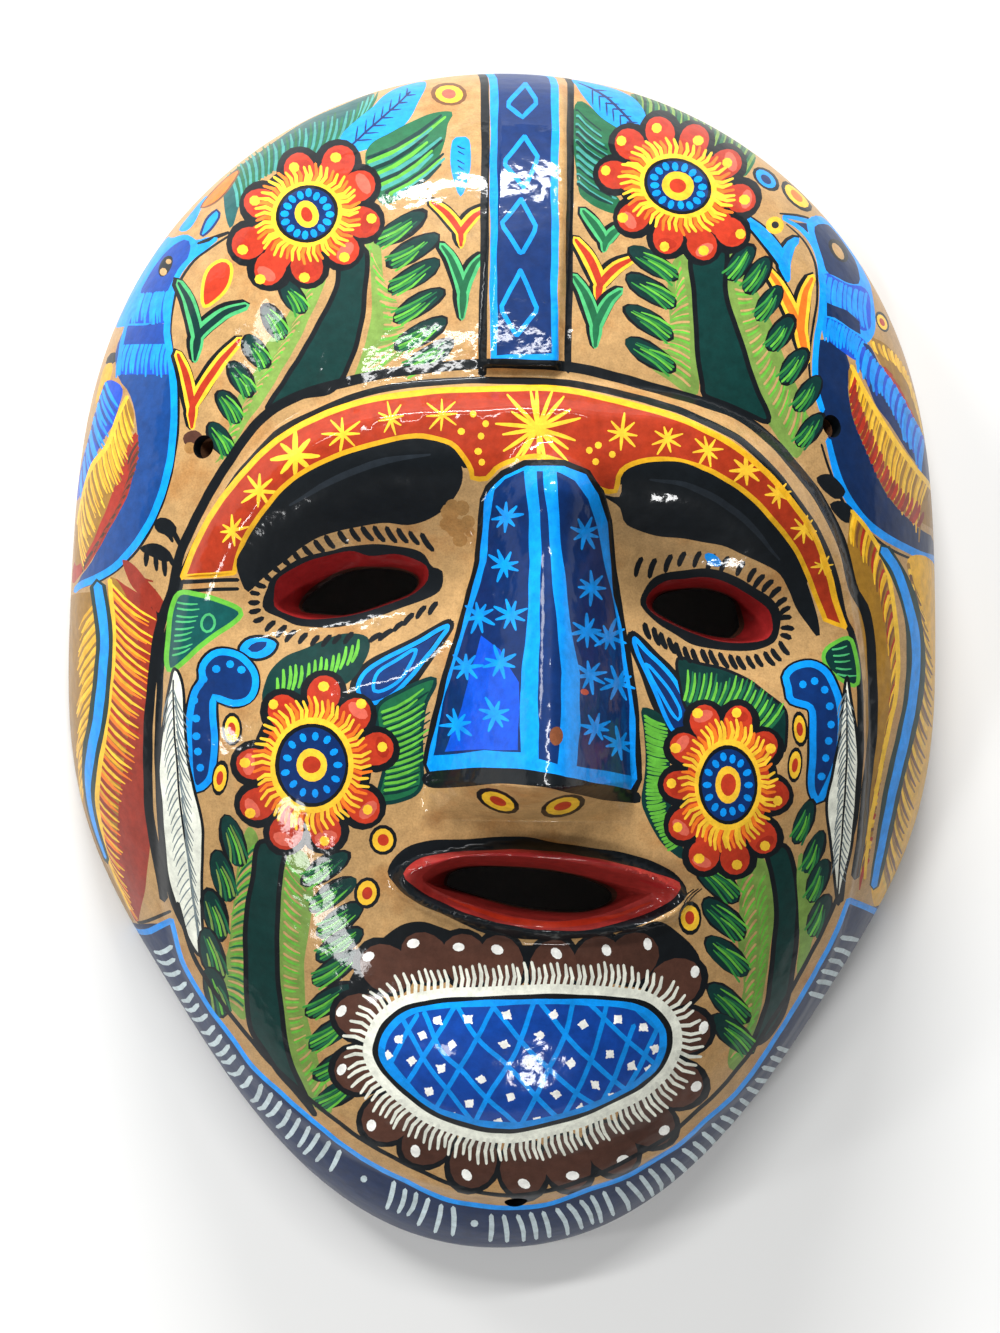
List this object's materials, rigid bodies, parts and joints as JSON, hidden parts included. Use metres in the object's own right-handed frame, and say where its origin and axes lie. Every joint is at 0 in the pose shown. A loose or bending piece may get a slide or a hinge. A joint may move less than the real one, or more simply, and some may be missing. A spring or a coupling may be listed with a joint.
{
  "type": "folk art wall mask",
  "caption": "Hollow clay face mask with a banded forehead, arched brow, wedge nose, open eyes and mouth, raised lips and chin boss, painted all over with flowers and birds",
  "frame": {"origin": "On the plane of the back rim, under the middle of the outline", "axes": "+Y up to the forehead, +Z out of the face, +X to the viewer's right"},
  "size_m": [0.1924, 0.26, 0.0965],
  "materials": {
    "varnished_clay": "glossy varnish over painted clay"
  },
  "bodies": {
    "root": {"mask": "varnished_clay"}
  },
  "joints": []
}
